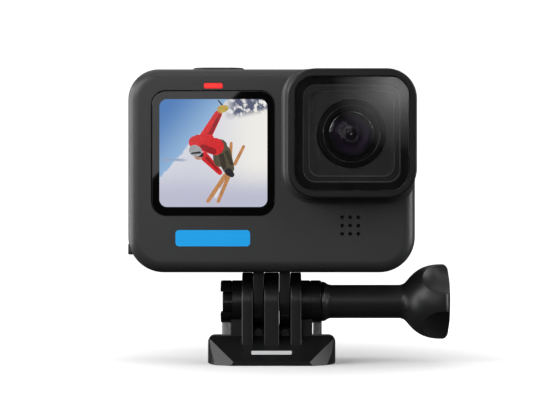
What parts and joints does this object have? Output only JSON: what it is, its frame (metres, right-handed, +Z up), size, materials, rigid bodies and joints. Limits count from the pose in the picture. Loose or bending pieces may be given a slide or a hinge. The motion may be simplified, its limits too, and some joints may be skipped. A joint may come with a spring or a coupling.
{
  "type": "action camera",
  "caption": "Small box camera with a square removable lens cover and front screen, clamped by its two fingers to a quick-release tripod buckle with a thumb screw.",
  "frame": {"origin": "middle of the buckle's flat underside, below the clamp screw", "axes": "+X along the clamp screw towards its knob; -Y the way the lens looks; +Z up"},
  "size_m": [0.0806, 0.0424, 0.074],
  "materials": {
    "black_plastic": "fine grained, satin",
    "dark_rubber": "soft-touch rubber",
    "black_metal": "black anodised",
    "display_glass": "polished black glass",
    "cover_glass": "clear, coated",
    "lens_glass": "purple anti-reflection coating",
    "filter_glass": "red-tinted filter",
    "screen": "lit display",
    "red_light": "lit red light pipe",
    "steel": "brushed",
    "board": "solder mask green",
    "chip": "moulded chip package",
    "gold_contact": "gold plated contacts",
    "battery_case": "grey moulded battery case",
    "seal_rubber": "grey silicone",
    "arm_plastic": "satin grey",
    "sink_metal": "bare aluminium"
  },
  "bodies": {
    "mount": {"mount_buckle": "black_plastic", "captive_nut": "steel"},
    "left_arm": {"left_latch_arm": "arm_plastic"},
    "right_arm": {"right_latch_arm": "arm_plastic"},
    "washer": {"clamp_washer": "steel"},
    "screw": {"thumb_knob": "black_plastic", "clamp_screw": "steel"},
    "camera": {"front_cover": "black_plastic", "rear_cover": "black_plastic", "mid_frame": "dark_rubber", "front_display_glass": "display_glass", "rear_display_glass": "display_glass", "front_display_panel": "screen", "rear_display_panel": "display_glass", "front_status_light": "red_light", "rear_status_light": "red_light", "speaker": "black_metal", "lens_mount_ring": "black_metal", "lens_barrel": "black_metal", "lens_retaining_ring": "black_metal", "lens_front_element": "lens_glass", "lens_middle_element": "lens_glass", "lens_rear_element": "lens_glass", "lens_aperture_stop": "black_metal", "infrared_filter": "filter_glass", "image_sensor": "chip", "sensor_board": "board", "shutter_switch": "steel", "mode_switch": "steel", "door_hinge_pin": "steel", "battery": "battery_case", "battery_sleeve": "black_plastic", "battery_contacts": "gold_contact", "memory_card": "black_plastic", "memory_card_socket": "steel", "usb_port": "steel", "main_board": "board", "processor": "chip", "heat_sink": "sink_metal", "left_finger": "black_metal", "right_finger": "black_metal", "left_finger_pin": "steel", "right_finger_pin": "steel"},
    "lens_cover": {"lens_cover_frame": "black_metal", "lens_cover_glass": "cover_glass", "lens_cover_seal": "dark_rubber"},
    "shutter": {"shutter_button": "dark_rubber"},
    "mode": {"mode_button": "dark_rubber"},
    "door": {"side_door": "dark_rubber", "door_seal": "seal_rubber"},
    "latch": {"door_latch": "black_plastic"}
  },
  "joints": [
    {"name": "left_arm_squeeze", "type": "hinge", "parent": "mount", "child": "left_arm", "pos_m": [-0.0116, 0.0056, 0.0005], "axis": [0, 0, -1], "range_deg": [0, 6], "stiffness_Nm_per_rad": 0.5},
    {"name": "right_arm_squeeze", "type": "hinge", "parent": "mount", "child": "right_arm", "pos_m": [0.0116, 0.0056, 0.0005], "axis": [0, 0, 1], "range_deg": [0, 6], "stiffness_Nm_per_rad": 0.5},
    {"name": "screw_travel", "type": "slide", "parent": "mount", "child": "washer", "axis": [1, 0, 0], "range_m": [0, 0.004]},
    {"name": "screw_spin", "type": "hinge", "parent": "washer", "child": "screw", "pos_m": [0.0132, 0, 0.01535], "axis": [1, 0, 0], "range_deg": [0, 1800]},
    {"name": "camera_tilt", "type": "hinge", "parent": "mount", "child": "camera", "pos_m": [0, 0, 0.01535], "axis": [1, 0, 0], "range_deg": [-50, 70]},
    {"name": "lens_cover_twist", "type": "hinge", "parent": "camera", "child": "lens_cover", "pos_m": [0.01955, -0.0155, 0.057], "axis": [0, -1, 0], "range_deg": [0, 45]},
    {"name": "shutter_press", "type": "slide", "parent": "camera", "child": "shutter", "axis": [0, 0, -1], "range_m": [0, 0.0006], "stiffness_N_per_m": 1500},
    {"name": "mode_press", "type": "slide", "parent": "camera", "child": "mode", "axis": [-1, 0, 0], "range_m": [0, 0.0006], "stiffness_N_per_m": 1500},
    {"name": "door_swing", "type": "hinge", "parent": "camera", "child": "door", "pos_m": [-0.034, 0, 0.0683], "axis": [0, 1, 0], "range_deg": [0, 95]},
    {"name": "latch_slide", "type": "slide", "parent": "door", "child": "latch", "axis": [0, 0, -1], "range_m": [0, 0.002], "stiffness_N_per_m": 300}
  ],
  "couplings": [
    {"joint": "screw_spin", "follows": "screw_travel", "rad_per_m": 7853.9}
  ]
}
